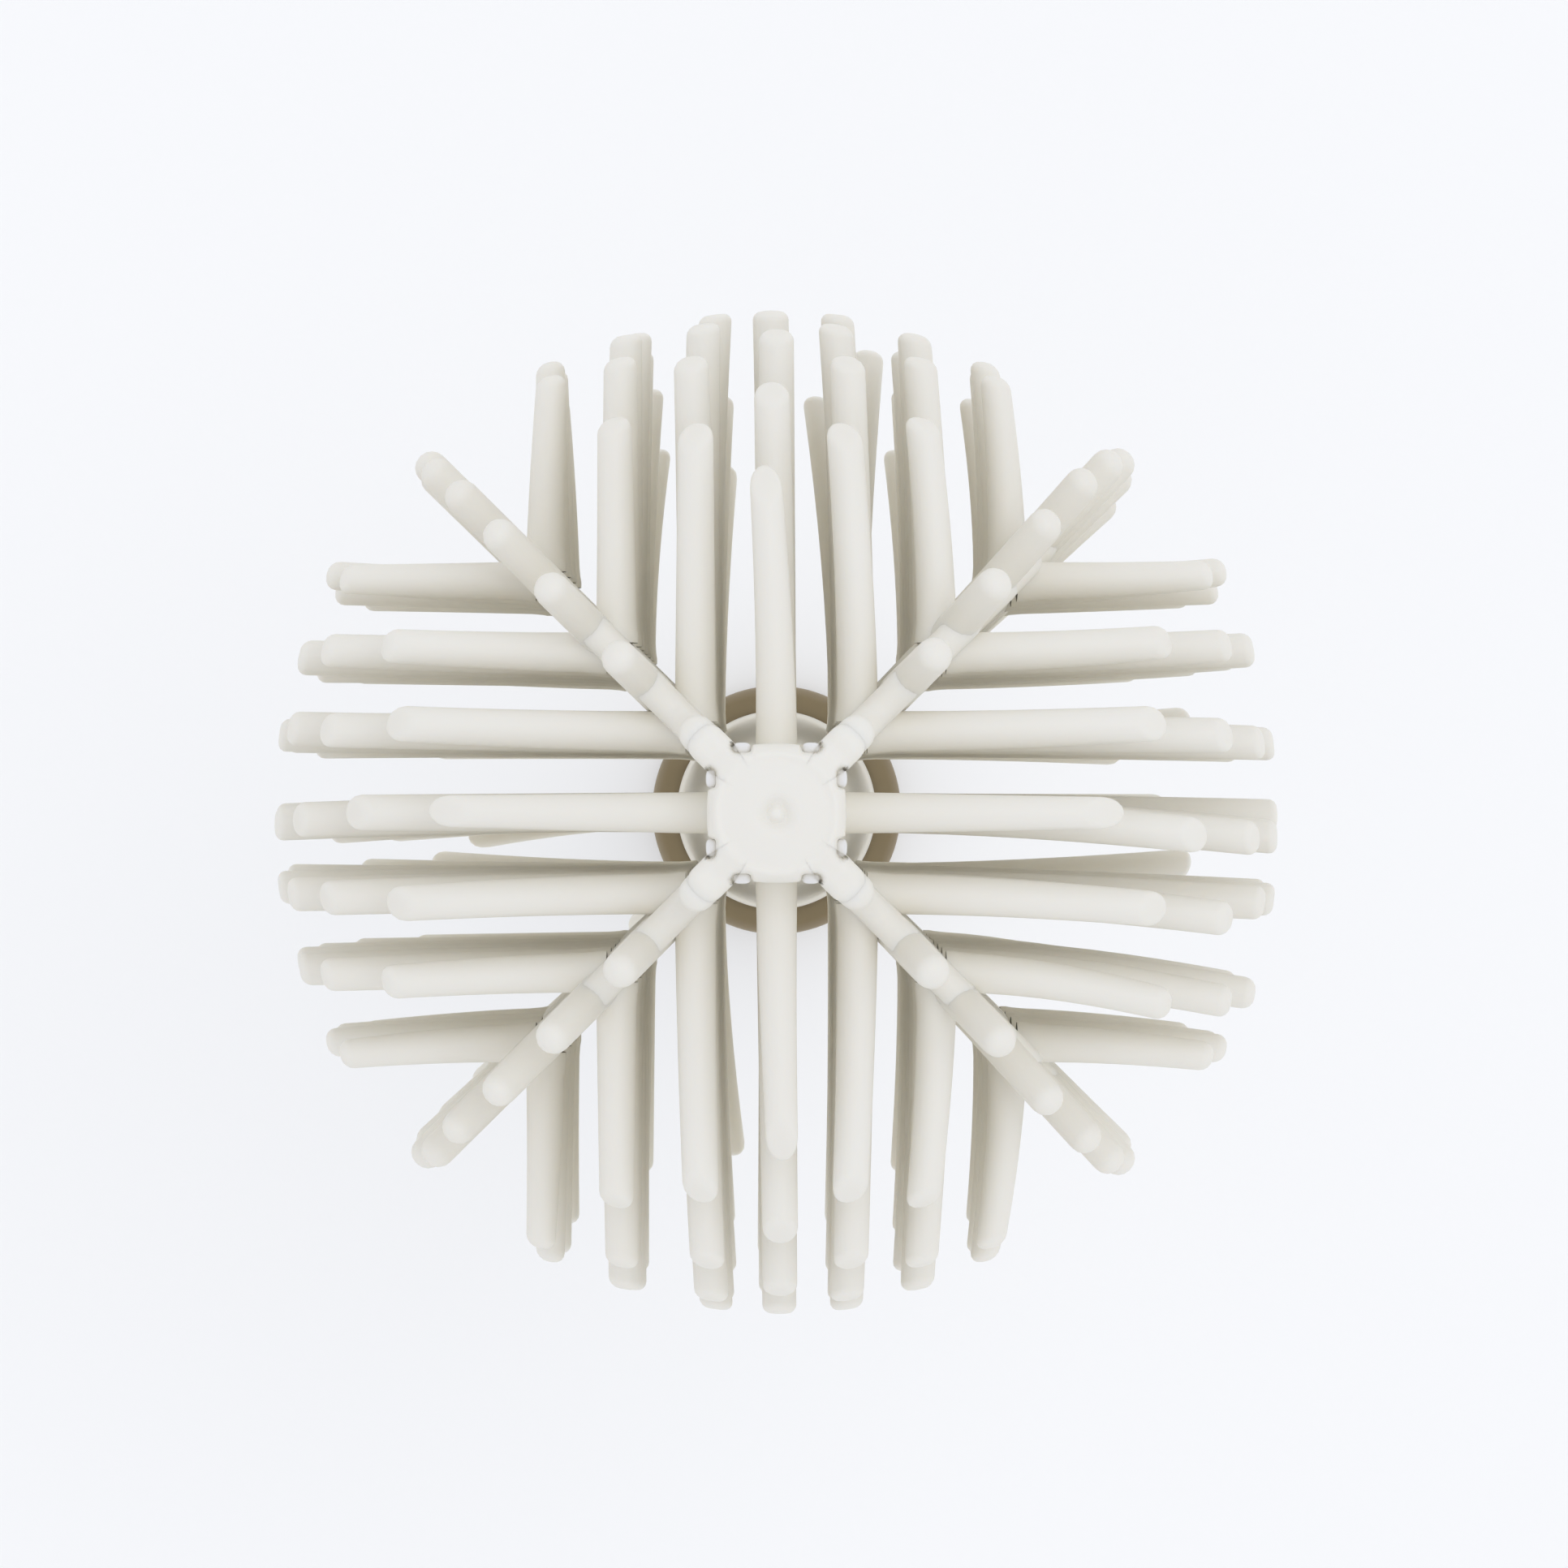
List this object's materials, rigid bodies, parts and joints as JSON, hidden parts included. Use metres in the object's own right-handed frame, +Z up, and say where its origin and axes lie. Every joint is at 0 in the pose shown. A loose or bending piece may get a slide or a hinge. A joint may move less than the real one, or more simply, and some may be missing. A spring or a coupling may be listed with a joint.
{
  "type": "ball-headed cleaning brush",
  "caption": "Upright cleaning brush: a ball of soft round-ended fingers on a flanged collar, which screws onto a slim handle with a soft grip and a flared flat foot.",
  "frame": {"origin": "centre of the foot pad's flat underside", "axes": "+Z up the handle to the tip of the head, +X and +Y along the middle fingers"},
  "size_m": [0.08, 0.08, 0.25],
  "materials": {
    "soft_white": "satin, soft moulded elastomer",
    "core_white": "matt moulded",
    "seal_rubber": "satin",
    "handle_beige": "satin moulded",
    "black_rubber": "satin",
    "brass": "turned",
    "rod_steel": "drawn",
    "tube_white": "satin extruded",
    "grip_white": "matt",
    "washer_steel": "zinc plated",
    "nut_steel": "zinc plated",
    "pad_rubber": "matt"
  },
  "bodies": {
    "handle": {"collar": "handle_beige", "upper_o_ring": "black_rubber", "rod_insert": "brass", "tie_rod": "rod_steel", "handle_tube": "tube_white", "grip_sleeve": "grip_white", "rod_spacer": "core_white", "foot_cap": "handle_beige", "lower_o_ring": "black_rubber", "rod_washer": "washer_steel", "rod_nut": "nut_steel", "foot_pad": "pad_rubber"},
    "seal": {"seal_ring": "seal_rubber"},
    "head": {"bristle_head": "soft_white", "head_core": "core_white"}
  },
  "joints": [
    {"name": "lift", "type": "slide", "parent": "handle", "child": "seal", "axis": [0, 0, 1], "range_m": [0, 0.0135]},
    {"name": "unscrew", "type": "hinge", "parent": "seal", "child": "head", "pos_m": [0, 0, 0.168], "axis": [0, 0, 1], "range_deg": [0, 1620]}
  ],
  "couplings": [
    {"joint": "lift", "follows": "unscrew", "m_per_rad": 0.00047746}
  ]
}
